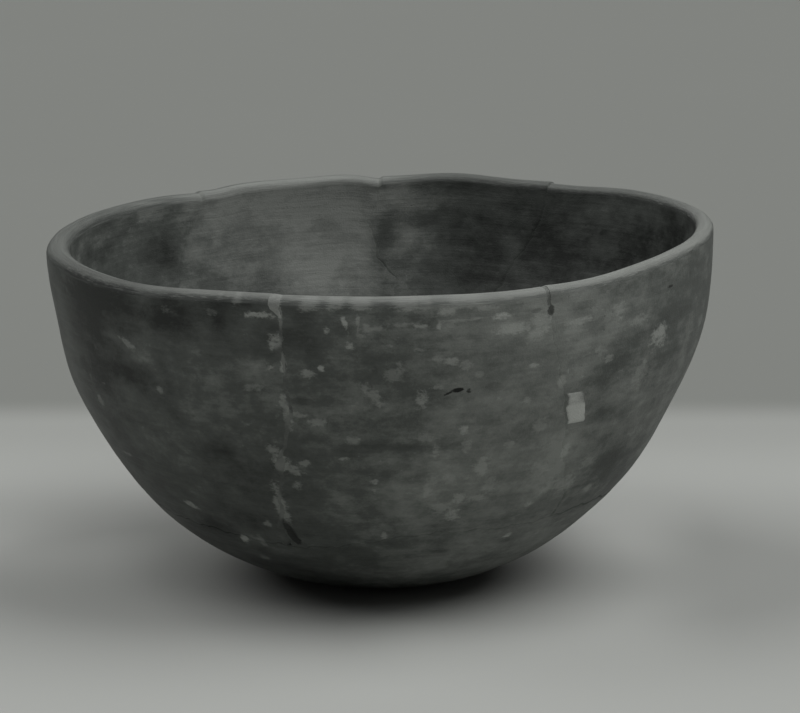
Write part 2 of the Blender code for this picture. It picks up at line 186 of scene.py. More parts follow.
INSIDE_STAINS_AND_PAINTED_SHADE = (
    # Painted shade on the right of the inside: the broad marks at azimuths 110 and 150
    (110, 66, 28, 20, -42), (150, 66, 22, 20, -50), (193, 63, 10, 9, 40),
    (107.6, 73.6, 16.4, 3.4, -48, -15), (123, 63.4, 11.5, 1.9, -36, -15),
    (130.5, 74.4, 5.6, 1.6, 18), (141.3, 63.4, 11.7, 5.8, -24), (142.1, 73.7, 26.3, 2.3, 30),
    (152.1, 59.6, 1.7, 3.8, 60, -26), (159.1, 53.6, 4.1, 0.9, -30), (161.5, 64, 7.5, 6, -14),
    (169.8, 63, 1.9, 2.3, 30), (170.9, 72.4, 5.3, 2.4, 35), (174.4, 63.2, 2.9, 3, 60),
    (176.5, 70.1, 1.7, 2.1, -24), (176.7, 74.1, 3.8, 1.9, 36), (179.5, 62.3, 1.9, 3.8, -60, 10),
    (186.8, 72.3, 7.2, 2.9, 30), (186.8, 73.5, 7.2, 2.4, 30), (187.9, 64, 8.2, 9.5, 50),
    (190.8, 76.2, 14.2, 3, 35), (191.3, 55.2, 10.9, 4.6, 42), (193.5, 69.6, 12.8, 8.2, 32),
    (198.1, 65.2, 13.5, 6.7, 30), (202, 64.4, 5.6, 2.9, -24), (206.3, 74.1, 13.1, 3.2, 50),
    (206.3, 74.4, 18, 2.5, 40), (212.4, 63.9, 9.8, 7.1, 36), (221.4, 71.4, 4.2, 3.4, -6),
    (225.7, 62.7, 2.8, 5.7, -48, 10), (231.2, 74, 3.1, 1.2, 24), (231.3, 63.2, 4.9, 3.3, -24),
    (244.7, 72.5, 4.2, 3.4, -18), (250.4, 68.1, 4.4, 1.6, -24),
)
PALE_MARKS = (
    (-61.8, 34.1, 2.2, 0.34, 29), (-61.6, 47.3, 0.94, 0.88, 29), (-57.8, 51.8, 1, 0.41, 37),
    (-47.5, 63.3, 2.1, 0.61, 33, -25), (-46.5, 25.1, 1.4, 0.64, 59, -20),
    (-41.3, 53.9, 0.82, 0.6, 31), (-37.6, 72.5, 1.1, 0.82, 15), (-35.7, 17.6, 0.71, 1.2, 81, -30),
    (-34.5, 12.1, 0.89, 0.63, 33), (-30.3, 17.8, 0.58, 1.6, 26), (-28.4, 73.5, 1.3, 0.68, 15),
    (-27.1, 76.3, 0.89, 0.45, 29), (-25.9, 23.3, 0.62, 0.59, 37),
    (-23.8, 76.4, 0.93, 0.87, 29, -20), (-21.9, 57.4, 1.8, 0.71, 29), (-21, 28.4, 1.1, 5.5, 45),
    (-20.1, 73.7, 2.5, 0.58, 63), (-19.5, 42.9, 1.4, 1.2, 39, -35), (-18.6, 39.5, 1.5, 2, 53, 10),
    (-18.3, 62.3, 0.5, 0.5, 59), (-17.2, 68.5, 1.3, 1.4, 53, -20),
    (-16.6, 38.4, 1.8, 0.87, 45, -18), (-16.2, 34.4, 0.82, 1.1, 45),
    (-16.2, 52.5, 0.81, 3.3, 39, 8), (-16.2, 73.5, 0.31, 2.2, 37), (-16.1, 62, 0.58, 0.6, 59),
    (-16, 63.4, 0.4, 2.1, 63), (-14.5, 51.7, 2.4, 0.47, 35), (-14, 40.3, 1.1, 0.75, 39),
    (-11.8, 61.3, 1.4, 0.77, 47, -4), (-11.5, 75.9, 1.9, 0.77, 39, 15),
    (-10.7, 50.2, 1.8, 0.71, 39), (-9.6, 62.6, 0.58, 0.61, 73), (-8.5, 71.1, 0.55, 0.57, 55),
    (-7.1, 76.1, 1.5, 0.68, 39), (-6.3, 41.7, 0.96, 0.29, 45, 5), (-5.5, 72.2, 0.4, 1.8, 73, 16),
    (-4.9, 67.9, 0.8, 0.62, 59), (-4.7, 46.1, 1.1, 0.82, 33), (-3.5, 72.2, 0.27, 1.7, 26),
    (-3.4, 74.1, 0.38, 0.54, 45), (-3, 70.2, 1.1, 0.44, 29), (-2.9, 76.3, 1.9, 0.6, 41),
    (-2, 71.7, 0.84, 0.79, 29), (-1.4, 57.4, 3, 0.96, 35, -50), (-1, 33.7, 0.39, 0.46, 37),
    (-0.8, 36, 0.64, 0.5, 53), (-0.2, 71.7, 1.9, 0.44, 29), (1.1, 21.6, 0.56, 0.74, 45),
    (1.7, 67.9, 0.63, 0.35, 29), (2.3, 61.4, 1.9, 1.2, 29), (3.2, 63.6, 0.59, 0.78, 33),
    (3.3, 72.5, 3.8, 0.39, 26), (4.6, 76.4, 2.7, 0.7, 41), (6.6, 72.2, 1.7, 0.48, 53),
    (6.8, 67, 1.3, 0.4, 26), (7.2, 56, 1.1, 1.8, 51), (7.2, 76.3, 1.3, 0.64, 29),
    (8.1, 46.6, 1.9, 0.82, 29), (9.3, 34.5, 0.57, 2.3, 39), (9.6, 64.8, 1.1, 0.67, 29),
    (9.7, 72.1, 0.43, 0.77, 51), (9.8, 58.3, 1.5, 0.46, 35, -8), (10.2, 35.5, 1, 1.8, 26),
    (10.3, 43.1, 0.66, 1.2, 41), (11.1, 75, 1.5, 0.55, 45), (11.3, 73.1, 2.6, 0.23, 29, 3),
    (12, 64.2, 1.2, 0.7, 51), (12.7, 28.8, 2, 1.2, 33), (13.3, 36, 1.4, 1, 26),
    (14.1, 76.3, 3.5, 0.75, 35), (14.4, 63.1, 1.1, 0.89, 33), (14.8, 48.3, 0.9, 0.84, 63),
    (14.8, 73.2, 2.6, 0.26, 29, 5), (15.8, 44.1, 0.9, 1.2, 29), (15.9, 26.7, 1.4, 1.3, 59, -10),
    (16.1, 31.2, 1.1, 1.2, 51), (16.9, 60.9, 0.81, 0.67, 22), (17.6, 75.5, 1.8, 0.63, 26),
    (19.4, 38.7, 1.2, 1.8, 45), (19.8, 30.8, 1.7, 0.8, 39), (20.2, 73.5, 1.5, 0.64, 73),
    (22, 33.9, 1.2, 1.8, 26), (22.6, 70.5, 3.5, 0.86, 55, 8), (24.3, 43.9, 0.96, 0.83, 29),
    (26.1, 53.7, 0.98, 0.69, 39), (26.4, 61.9, 0.88, 0.36, 59), (26.8, 69, 2.4, 1.1, 40, 30),
    (27, 71.8, 2, 1.1, 40), (29.8, 47.4, 1.6, 1.4, 29), (31.8, 36.3, 3, 1.2, 26),
    (32.6, 57.4, 0.8, 1.4, 35, 10), (33.3, 18.8, 0.79, 0.77, 89), (33.5, 59.5, 0.33, 0.59, 52),
    (33.7, 27.4, 0.75, 0.68, 53), (35.3, 70.5, 3.2, 0.64, 39, 3), (37, 57.8, 0.56, 0.3, 45),
    (37.7, 39.7, 0.92, 1.3, 63), (39.8, 31.4, 3.2, 1.7, 39), (39.9, 63.2, 1.2, 0.89, 29),
    (42.2, 60.6, 1.3, 0.9, 39), (43.8, 71.8, 1.6, 1.3, 29), (45.4, 35.5, 2.2, 1.2, 26),
    (48.9, 68.4, 2.5, 0.87, 33), (50.7, 28.2, 1.3, 0.75, 45), (52.2, 55.4, 2.4, 2.2, 29, 25),
    (55.7, 63.5, 2.5, 2.2, 63),
)
HOLLOW_SHADE_MARKS = (
    (-20.8, 21.6, 0.89, 3, 85, 12), (-17.4, 71, 1.3, 0.8, 20, 20), (-13.4, 55, 2.2, 0.84, 30),
    (-3, 48.3, 0.85, 0.52, 30), (-0.7, 62.4, 0.63, 1.1, 25, 20), (11.8, 57, 1.2, 0.27, 90, 27),
    (13.2, 57.5, 1.1, 0.39, 100, 8), (15.2, 57.2, 0.47, 0.47, 85), (19.6, 57.7, 1.8, 0.91, 20),
    (26.4, 74, 1.2, 0.42, 35, 8), (28.7, 75.7, 0.44, 0.97, 40), (29, 73.8, 0.69, 0.96, 72),
    (57.6, 73.9, 1.1, 0.36, 80),
)


def leaning(azimuth, radius, height, mark):
    """Across and up from the middle of a mark, in its own half widths and half heights."""
    place, level, wide, high, _, lean = (*mark, 0.0)[:6]
    across = np.radians(turn_between(azimuth, place)) * radius * 1000
    up = height * 1000 - level
    turn = math.radians(lean)
    return (
        (across * math.cos(turn) + up * math.sin(turn)) / wide,
        (up * math.cos(turn) - across * math.sin(turn)) / high,
    )


def shades_at(azimuth, radius, height, marks):
    """How pale or dark the soft marks make this place, levelled off so that none turns flat."""
    total = 0.0 * azimuth
    for mark in marks:
        across, up = leaning(azimuth, radius, height, mark)
        total = total + mark[4] / 100 * np.exp(-(across**2 + up**2) / 2)
    return DEEPEST_SHADE * np.tanh(total)


def crisp_at(azimuth, radius, height, marks):
    """How deep inside the nearest mark, 1 at its edge, and how strong that mark is."""
    deepest = np.zeros_like(azimuth)
    force = np.zeros_like(azimuth)
    for mark in marks:
        across, up = leaning(azimuth, radius, height, mark)
        inside = np.clip(2.0 - np.sqrt(across**2 + up**2), 0.0, 1.4)
        force = np.where(inside > deepest, mark[4] / 100, force)
        deepest = np.maximum(deepest, inside)
    return deepest, force


def new_object(name, data):
    made = bpy.data.objects.new(name, data)
    bpy.context.scene.collection.objects.link(made)
    return made


def make_net(name, azimuth, share, depth, crown, rise, ease, faces, proud=None):
    """A net of points that know their place on the wall, ready to be given the wall's form."""
    mesh = bpy.data.meshes.new(name)
    flat = np.stack([azimuth, share, depth], -1).reshape(-1, 3)
    mesh.from_pydata(flat.tolist(), [], faces)
    mesh.shade_smooth()
    radius = curve_radius(share)
    height = curve_height(share) + rise
    outside = depth < 0.5
    shades = np.where(
        outside,
        shades_at(azimuth, radius, height, OUTSIDE_STAINS_AND_PAINTED_LIGHT),
        shades_at(azimuth, radius, height, INSIDE_STAINS_AND_PAINTED_SHADE),
    )
    pale, pale_force = crisp_at(azimuth, radius, height, PALE_MARKS)
    dark, dark_force = crisp_at(azimuth, radius, height, HOLLOW_SHADE_MARKS)
    words = dict(azimuth=azimuth, share=share, depth=depth, crown=crown, rise=rise, ease=ease)
    words.update(
        proud=0.0 * share if proud is None else proud,
        swell=swell_at(azimuth, share),
        shade=shades,
        pale=np.where(outside, pale, 0.0),
        pale_force=pale_force,
        dark=np.where(outside, dark, 0.0),
        dark_force=dark_force,
        below_lip=((1 - crown) * LIP_RISE + (1 - share) * PROFILE_LENGTH) * 1000,
    )
    for word, values in words.items():
        layer = mesh.attributes.new(word, "FLOAT", "POINT")
        layer.data.foreach_set("value", np.ascontiguousarray(values, "f").ravel())
    return new_object(name, mesh)


def feed(tree, socket, value):
    if isinstance(value, Number):
        value = value.socket
    if isinstance(value, bpy.types.NodeSocket):
        tree.links.new(value, socket)
    else:
        socket.default_value = value


def add_node(tree, kind, settings=(), **inputs):
    """A node with its settings and its inputs; an underscore in an input stands for a space."""
    made = tree.nodes.new(kind)
    for word, value in dict(settings).items():
        setattr(made, word, value)
    for word, value in inputs.items():
        feed(tree, made.inputs[word.replace("_", " ")], value)
    return made


class Number:
    """A value on a node's socket that reads as a number in plain arithmetic."""

    def __init__(self, tree, socket):
        self.tree = tree
        self.socket = socket

    def maths(self, operation, *others):
        made = self.tree.nodes.new("ShaderNodeMath")
        made.operation = operation
        for socket, value in zip(made.inputs, (self, *others)):
            feed(self.tree, socket, value)
        return Number(self.tree, made.outputs[0])

    def __add__(self, other):
        return self.maths("ADD", other)

    def __sub__(self, other):
        return self.maths("SUBTRACT", other)

    def __mul__(self, other):
        return self.maths("MULTIPLY", other)

    def __truediv__(self, other):
        return self.maths("DIVIDE", other)

    def __pow__(self, other):
        return self.maths("POWER", other)

    def __rsub__(self, other):
        return self * -1 + other

    def __rtruediv__(self, other):
        return self**-1 * other

    __radd__ = __add__
    __rmul__ = __mul__

    def between(self, low, high, smooth=True):
        """0 below low, 1 above high."""
        kind = "SMOOTHSTEP" if smooth else "LINEAR"
        made = add_node(self.tree, "ShaderNodeMapRange", {"interpolation_type": kind})
        for socket, value in zip(made.inputs, (self, low, high, 0.0, 1.0)):
            feed(self.tree, socket, value)
        return Number(self.tree, made.outputs[0])


def noise(place, scale, detail=2.0, rough=0.5, stretch=(1.0, 1.0, 1.0)):
    """Soft noise from -1 to 1; place is a vector and scale is per metre."""
    tree = place.id_data
    stretched = add_node(tree, "ShaderNodeVectorMath", {"operation": "MULTIPLY"})
    feed(tree, stretched.inputs[0], place)
    feed(tree, stretched.inputs[1], stretch)
    made = add_node(tree, "ShaderNodeTexNoise", Scale=scale, Detail=detail, Roughness=rough)
    feed(tree, made.inputs["Vector"], stretched.outputs[0])
    return Number(tree, made.outputs[0]) * 2 - 1


def cells(place, scale):
    """Distance to the nearest of many scattered points, in cells, and a number of its own."""
    tree = place.id_data
    made = add_node(tree, "ShaderNodeTexVoronoi", {"feature": "F1"}, Vector=place, Scale=scale)
    own = add_node(tree, "ShaderNodeSeparateXYZ", Vector=made.outputs["Color"])
    return Number(tree, made.outputs["Distance"]), Number(tree, own.outputs[0])


def known(tree, word):
    """What each point of the net knows under this word."""
    made = add_node(tree, "GeometryNodeInputNamedAttribute", {"data_type": "FLOAT"}, Name=word)
    return Number(tree, made.outputs["Attribute"])


# The wall's form: a curve turned round the axis, thick by a rule, uneven from the hand, with the
# strokes of the pebble, small pits where grit fell out, and edges worn soft beside each break
WALL_SIZES = {
    "Rim Radius": RIM_RADIUS,
    "Curve Depth": CURVE_DEPTH,
    "Rest Drop": REST_DROP,
    "Fullness Out": FULLNESS_OUT,
    "Fullness Up": FULLNESS_UP,
    "Lip Wall": LIP_WALL,
    "Base Wall": BASE_WALL,
    "Wall Uneven": WALL_UNEVEN,
    "Thick Side": WALL_THICK_AZIMUTH,
    "Lip Round": LIP_ROUND,
    "Profile Length": PROFILE_LENGTH,
    "Skin Back": 0.00008,
    "Hand Waves": 0.00014,
    "Stroke Depth": 0.000030,
    "Facet Depth": 0.000060,
    "Pit Depth": 0.00022,
    "Pit Spacing": 0.0062,
    "Grain Depth": 0.0,
    "Edge Wear": 0.00003,
    "Edge Width": 0.00020,
}


def wall_tree():
    """The tree that gives a net the wall's form, with a named input for each size."""
    tree = bpy.data.node_groups.new("wall_form", "GeometryNodeTree")
    tree.interface.new_socket("Net", in_out="INPUT", socket_type="NodeSocketGeometry")
    for word, value in WALL_SIZES.items():
        socket = tree.interface.new_socket(word, in_out="INPUT", socket_type="NodeSocketFloat")
        socket.default_value = value
    tree.interface.new_socket("Finish", in_out="INPUT", socket_type="NodeSocketMaterial")
    tree.interface.new_socket("Piece", in_out="OUTPUT", socket_type="NodeSocketGeometry")
    entry = tree.nodes.new("NodeGroupInput").outputs
    size = {word: Number(tree, entry[word]) for word in WALL_SIZES}
    azimuth = known(tree, "azimuth") * (math.pi / 180)
    share = known(tree, "share")
    depth = known(tree, "depth")
    crown = known(tree, "crown")
    skin = 1 - (depth * (1 - depth)).between(0.01, 0.24) * (1 - crown.between(0.0, 0.01))
    angle = share * (math.pi / 2)
    rim = size["Rim Radius"]
    bare_radius = rim * angle.maths("SINE") ** (2 / size["Fullness Out"])
    left = angle.maths("COSINE").maths("MAXIMUM", 0.0) ** (2 / size["Fullness Up"])
    height = size["Curve Depth"] * (1 - left) - size["Rest Drop"]
    across = (bare_radius / rim) ** (size["Fullness Out"] - 1) * size["Fullness Out"] / rim
    down = left ** (size["Fullness Up"] - 1) * size["Fullness Up"] / size["Curve Depth"]
    length = (across * across + down * down) ** 0.5
    across = across / length
    down = down / length
    radius = bare_radius + known(tree, "swell")
    height = height + known(tree, "rise")
    uneven = (azimuth - size["Thick Side"] * (math.pi / 180)).maths("COSINE")
    wall = size["Lip Wall"] + (size["Base Wall"] - size["Lip Wall"]) * (1 - share) ** 1.2
    wall = wall + size["Wall Uneven"] * uneven * share
    sine = azimuth.maths("SINE")
    cosine = azimuth.maths("COSINE")
    along = share * size["Profile Length"] + depth * INNER_SHIFT
    place = add_node(tree, "ShaderNodeCombineXYZ", X=radius * sine, Y=radius * cosine, Z=along)
    spot = place.outputs[0]
    strokes = noise(spot, 700.0, 3.0, 0.55, (0.06, 0.06, 1.0))
    facets = noise(spot, 150.0, 1.0, 0.4, (0.45, 0.45, 1.0))
    waves = noise(spot, 30.0, 1.0, 0.4)
    away, own = cells(spot, 1 / size["Pit Spacing"])
    reach = 0.06 + own * 0.07
    pit = (1 - away / reach).maths("MAXIMUM", 0.0) * own.between(0.45, 0.55)
    worn = ((known(tree, "ease") / size["Edge Width"]) ** 2 * -1).maths("EXPONENT")
    nibble = noise(spot, 900.0, 2.0) * 0.5 + 1
    grain = noise(spot, 1500.0, 2.0, 0.7)
    hand = size["Hand Waves"] * waves + size["Stroke Depth"] * strokes
    hand = hand + size["Facet Depth"] * facets + size["Grain Depth"] * grain
    hand = hand - size["Pit Depth"] * pit - size["Skin Back"]
    relief = skin * hand - size["Edge Wear"] * worn * nibble + known(tree, "proud")
    outward = 1 - depth * 2
    half_crown = size["Lip Round"] * wall * crown / 2
    far = radius - across * wall * depth + down * half_crown
    far = far + (across * outward + down * crown) * relief
    high = height + down * wall * depth + across * half_crown
    high = (high + (across * crown - down * outward) * relief).maths("MAXIMUM", 0.0)
    point = add_node(tree, "ShaderNodeCombineXYZ", X=far * sine, Y=far * cosine * -1, Z=high)
    place = point.outputs[0]
    marked = entry["Net"]
    for word, value in (("pit", pit), ("worn", worn)):
        marked = add_node(
            tree, "GeometryNodeStoreNamedAttribute", Geometry=marked, Name=word, Value=value
        ).outputs[0]
    formed = add_node(tree, "GeometryNodeSetPosition", Geometry=marked, Position=place)
    whole = add_node(tree, "GeometryNodeRealizeInstances", Geometry=formed.outputs[0])
    coated = add_node(
        tree, "GeometryNodeSetMaterial", Geometry=whole.outputs[0], Material=entry["Finish"]
    )
    tree.links.new(coated.outputs[0], tree.nodes.new("NodeGroupOutput").inputs[0])
    return tree


# Faces that meet at more than this many degrees keep a crisp edge between them
SHARP_TURN = 55.0


def bake(net, finish, **sizes):
    """The net in the wall's form, as a plain mesh; the net is thrown away."""
    name = net.name
    form = net.modifiers.new("wall_form", "NODES")
    form.node_group = wall_form
    wanted = {word.replace("_", " "): value for word, value in sizes.items()}
    wanted["Finish"] = finish
    for item in wall_form.interface.items_tree:
        if item.in_out == "INPUT" and item.name in wanted:
            form[item.identifier] = wanted[item.name]
    graph = bpy.context.evaluated_depsgraph_get()
    mesh = bpy.data.meshes.new_from_object(
        net.evaluated_get(graph), preserve_all_data_layers=True, depsgraph=graph
    )
    bpy.data.objects.remove(net)
    mesh.set_sharp_from_angle(angle=math.radians(SHARP_TURN))
    mesh.name = name
    return new_object(name, mesh)


def seat(piece, node):
    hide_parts(node)
    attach(piece, "root")


# Smoked clay, rubbed until half bright: nearly black where the smoke went deep, greyer and
# rougher where the skin has worn, with pale earth left in pits and on the worn lip. The soft
# marks also bring painted light and shade into it, and the dark marks painted shade in hollows.
CLAY_DEEP = (0.017, 0.019, 0.017, 1.0)
CLAY_MIDDLE = (0.083, 0.090, 0.083, 1.0)
CLAY_WORN = (0.238, 0.250, 0.232, 1.0)
EARTH_PALE = (0.275, 0.287, 0.268, 1.0)
EARTH_FRESH = (0.370, 0.385, 0.360, 1.0)
HOLLOW_SHADE_DARK = (0.006, 0.007, 0.006, 1.0)
FINE_RELIEF = 0.00008


def blend_colours(tree, factor, first, second):
    made = add_node(tree, "ShaderNodeMix", {"data_type": "RGBA"})
    feed(tree, made.inputs["Factor"], factor)
    feed(tree, made.inputs[6], first)
    feed(tree, made.inputs[7], second)
    return made.outputs[2]


def start_material(name):
    material = bpy.data.materials.new(name)
    material.use_nodes = True
    tree = material.node_tree
    return material, tree, tree.nodes["Principled BSDF"]


def felt(tree, word):
    """A word that the points of a piece carry, read in its material."""
    made = add_node(tree, "ShaderNodeAttribute", {"attribute_name": word})
    return Number(tree, made.outputs["Fac"])


def surface(tree, shader, colour, rough, shine):
    feed(tree, shader.inputs["Base Color"], colour)
    feed(tree, shader.inputs["Roughness"], rough)
    feed(tree, shader.inputs["Specular IOR Level"], shine)


def bumped(tree, shader, height):
    made = add_node(tree, "ShaderNodeBump", Strength=1.0, Distance=FINE_RELIEF, Height=height)
    tree.links.new(made.outputs[0], shader.inputs["Normal"])


def clay_finish(name, filled=False):
    """The clay's skin, or with filled the same colours laid on a filler that was toned to it."""
    material, tree, shader = start_material(name)
    seen = add_node(tree, "ShaderNodeTexCoord").outputs["Object"]
    place = add_node(tree, "ShaderNodeSeparateXYZ", Vector=seen)
    across, back = Number(tree, place.outputs[0]), Number(tree, place.outputs[1])
    # The pattern is laid along the wall, so that it isn't drawn out where the wall turns under
    out = (across * across + back * back) ** 0.5
    wide = (out * 0.6 + 0.03) / out.maths("MAXIMUM", 0.03)
    along = felt(tree, "share") * PROFILE_LENGTH + felt(tree, "depth") * INNER_SHIFT
    laid = add_node(tree, "ShaderNodeCombineXYZ", X=across * wide, Y=back * wide, Z=along)
    here = laid.outputs[0]
    clouds = noise(here, 42.0, 3.0, 0.6)
    mottle = noise(here, 165.0, 5.0, 0.72, (0.7, 0.7, 1.0))
    blotch = noise(here, 230.0, 4.0, 0.66, (0.6, 0.6, 1.0))
    streaks = noise(here, 900.0, 2.0, 0.6, (0.06, 0.06, 1.0))
    fleck = noise(here, 620.0, 3.0, 0.7, (0.55, 0.55, 1.0))
    speck = noise(here, 1400.0, 3.0, 0.7, (0.8, 0.8, 1.0))
    grain = noise(here, 2600.0, 2.0, 0.7)
    away, own = cells(here, 620.0)
    prick = (1 - away / (own * 0.24)).maths("MAXIMUM", 0.0) * own.between(0.74, 0.95)
    prick = prick * (clouds + mottle * 0.6).between(-0.1, 0.4)
    # The shade word brings in the soft marks, with their painted light and shade
    tone = (
        felt(tree, "shade")
        + clouds * 0.25
        + mottle * 0.72
        + ((blotch + clouds * 0.4).between(-0.24, 0.28) - 0.5) * 0.34
        + streaks * 0.18
        + grain * 0.12
        + speck * 0.16
        + (fleck + clouds * 0.3).between(0.25, 0.5) * 0.28
        - prick * 0.5
    )
    dark = blend_colours(tree, (tone * -1).between(0.0, 1.0, False), CLAY_MIDDLE, CLAY_DEEP)
    clay = blend_colours(tree, tone.between(0.0, 1.0, False), dark, CLAY_WORN)
    ragged = mottle * 0.7 + blotch * 0.7 + fleck * 1.3 + speck * 1.0
    pale = (felt(tree, "pale") + ragged).between(0.4, 1.5) * felt(tree, "pale_force")
    tooth = noise(here, 420.0, 3.0, 0.6, (1.0, 1.0, 0.4)).between(-0.1, 0.6) * 1.3
    reach = 0.58 + tooth + fleck * 0.5 + grain * 0.1 + across.between(0.0, 0.035) * 0.35
    lip = (reach - felt(tree, "below_lip")).between(-0.5, 0.6) * (0.55 + mottle * 0.5)
    side = (across * -1).between(0.036, 0.052) * 0.4 - across.between(0.02, 0.04) * 0.3
    lip = lip * (1 - back.between(-0.02, 0.05) * 0.6) * (1 - side)
    clay = blend_colours(tree, pale, clay, EARTH_FRESH)
    clay = blend_colours(tree, lip + felt(tree, "pit") * 0.15, clay, EARTH_PALE)
    earth = (pale + lip).maths("MINIMUM", 1.0)
    # Painted shade in small holes, cracks and the lost corner, from the dark marks
    hollow_shade = (felt(tree, "dark") + ragged * 0.6).between(0.55, 1.15) * felt(tree, "dark_force")
    clay = blend_colours(tree, hollow_shade, clay, HOLLOW_SHADE_DARK)
    rough = (0.8 if filled else 0.54) + mottle * 0.08 + earth * 0.3 + grain * 0.05
    surface(tree, shader, clay, rough, 0.15 if filled else 0.26)
    relief = grain * 0.4 + streaks * 0.5 + earth * 0.3 - hollow_shade * 1.5 - prick
    bumped(tree, shader, relief)
    return material


wall_form = wall_tree()
burnished_clay = clay_finish("burnished_clay")


def stitched(count, wide, ring=False):
    """Faces between layers of points: up one face of a wall, over and down the other."""
    last = wide if ring else wide - 1
    column = np.arange(last)
    layer = np.arange(count)[:, None]
    here, above = layer * wide, (layer + 1) % count * wide
    beside = (column + 1) % wide
    corners = (here + column, here + beside, above + beside, above + column)
    return np.stack([corner.ravel() for corner in corners], -1).tolist()


def base_net():
    azimuth = np.arange(BASE_COLUMNS) * 360.0 / BASE_COLUMNS
    limit = break_share(azimuth) - share_step(break_share(azimuth), BREAK_GAP)
    near = 1 - np.array(EDGE_STEPS[::-1]) / BASE_REACH
    spans = np.linspace(0.03, near[0], BASE_ROWS)
    spans = np.concatenate([spans[:-1], near])
    t = limit * spans[:, None]
    ease = (limit - t) / share_step(limit, 1.0)
    rows, wide = t.shape
    t, ease, azimuth, depth = (
        np.concatenate([values, values[::-1]]) for values in (t, ease, azimuth + 0 * t, 0 * t)
    )
    depth[rows:] = 1.0
    last = (2 * rows - 1) * wide
    faces = stitched(2 * rows, wide, True)[:last]
    for k in range(wide):
        beside = (k + 1) % wide
        faces.append((last + wide, last + k, last + beside))
        faces.append((last + wide + 1, beside, k))

    def with_poles(values, over, under):
        return np.append(values.ravel(), [over, under])

    return make_net(
        "base_sherd_fine",
        with_poles(azimuth, 0.0, 0.0),
        with_poles(t, 1e-6, 1e-6),
        with_poles(depth, 1.0, 0.0),
        with_poles(0 * t, 0.0, 0.0),
        with_poles(0 * t, 0.0, 0.0),
        with_poles(ease, 1.0, 1.0),
        faces,
    )


base_sherd = bake(base_net(), burnished_clay)
seat(base_sherd, "base_sherd")

# Wall sherds
# Five pieces of the same pot's wall, each with its stretch of rounded lip. They were put back
# edge to edge on the base sherd's break.
RIM_SLOPE = 0.0020
# High and low places of each sherd's lip: azimuth, how high, and reach to each side in degrees
LIP_FRONT_LEFT = (
    (-146.0, -0.0006, 5.0), (-120.0, 0.0004, 16.0), (-47.0, -0.0006, 11.0), (-25.0, 0.0002, 8.0),
)
LIP_FRONT = ((5.0, -0.0004, 11.0), (24.0, -0.0008, 9.0))
LIP_RIGHT = (
    (34.0, -0.0007, 9.0), (62.0, 0.0004, 9.0), (88.0, 0.0014, 20.0), (125.0, 0.0004, 12.0),
    (142.0, -0.0007, 7.0),
)
LIP_BACK_RIGHT = ((153.0, -0.0002, 5.0), (166.0, 0.0008, 6.0))
LIP_BACK_LEFT = (
    (179.0, -0.0008, 3.0), (187.0, 0.0007, 5.0), (203.0, 0.0006, 8.0), (213.0, -0.0004, 2.5),
)
# The course of each join: shares of the bowl's height, and azimuths
JOIN_FRONT_LEFT = (
    (0.204, -24.8), (0.268, -23.4), (0.338, -21.5), (0.408, -20.1), (0.510, -18.7),
    (0.605, -16.5), (0.662, -15.5), (0.764, -15.9), (0.917, -16.3), (1.019, -16.6),
)
JOIN_FRONT_RIGHT = (
    (0.204, 45.5), (0.369, 43.0), (0.478, 38.2), (0.561, 36.2), (0.599, 35.8), (0.739, 32.7),
    (0.803, 31.3), (0.943, 29.0), (1.019, 28.3),
)
JOIN_BACK_RIGHT = ((0.204, 166.0), (0.433, 160.5), (0.688, 154.3), (0.866, 147.7), (1.019, 145.5))
JOIN_BACK = (
    (0.204, 186.0), (0.382, 177.0), (0.675, 176.3), (0.745, 180.0), (0.866, 181.8),
    (1.019, 178.5),
)
JOIN_BACK_LEFT = ((0.204, 238.0), (0.459, 230.0), (0.726, 224.5), (0.866, 220.5), (1.019, 213.5))
# Each join's ragged course is drawn from a seed, and the flakes lost on its left and right from
# the next two
COURSE_SEEDS = {
    JOIN_FRONT_LEFT: 20,
    JOIN_FRONT_RIGHT: 30,
    JOIN_BACK_RIGHT: 40,
    JOIN_BACK: 50,
    JOIN_BACK_LEFT: 60,
}
SHERD_BACK = 0.00022
MIDDLE_HEIGHT = 0.06
CHIP_REACH = 0.00030
CHIP_DEPTH = 0.0030
CHIP_LEFT = 0.0024
CHIP_RIGHT = 0.0002
CORNER_LOSS_WIDTH = 0.0014
CORNER_LOSS_LOW = 0.0185
CORNER_LOSS_HIGH = 0.0260
NICK_DEPTH = 0.0009
NICK_WIDTH = 0.0002
LIP_POINTS = 11
SETTLING_ROUNDS = 8


def lip_rise(azimuth, lip_rises):
    rise = RIM_SLOPE * np.sin(np.radians(azimuth))
    for place, amount, around in lip_rises:
        rise = rise + amount * bell(turn_between(azimuth, place), around)
    return rise


def rise_at(height, azimuth, lip_rises):
    """How far the wall is lifted here by the high and low places of the lip above it."""
    return lip_rise(azimuth, lip_rises) * np.clip(height / SPRING_HEIGHT, 0.0, 1.0) ** 3


def grown(height, start, end):
    return np.clip((height - start) / (end - start), 0.0, 1.0)


def side_of(join, lengths):
    """An edge beside a join: its azimuth at each height. lengths(height) is how far right."""
    levels = np.array([point[0] for point in join]) * BOWL_HEIGHT
    turns = np.array([point[1] for point in join])
    seed = COURSE_SEEDS[join]

    def edge(height):
        beside = lengths(height) + wander(height, seed)
        return np.interp(height, levels, turns) + np.degrees(
            beside / curve_radius(share_at_height(height))
        )

    return edge


def chips(height, seed):
    """Small flakes lost here and there along the edge of a break."""
    rough = wander(height, seed, ((0.0123, 0.5), (0.0057, 0.5), (0.0031, 0.4))) * 1000
    return CHIP_REACH * np.clip(rough - 0.45, 0.0, 1.0) ** 0.7


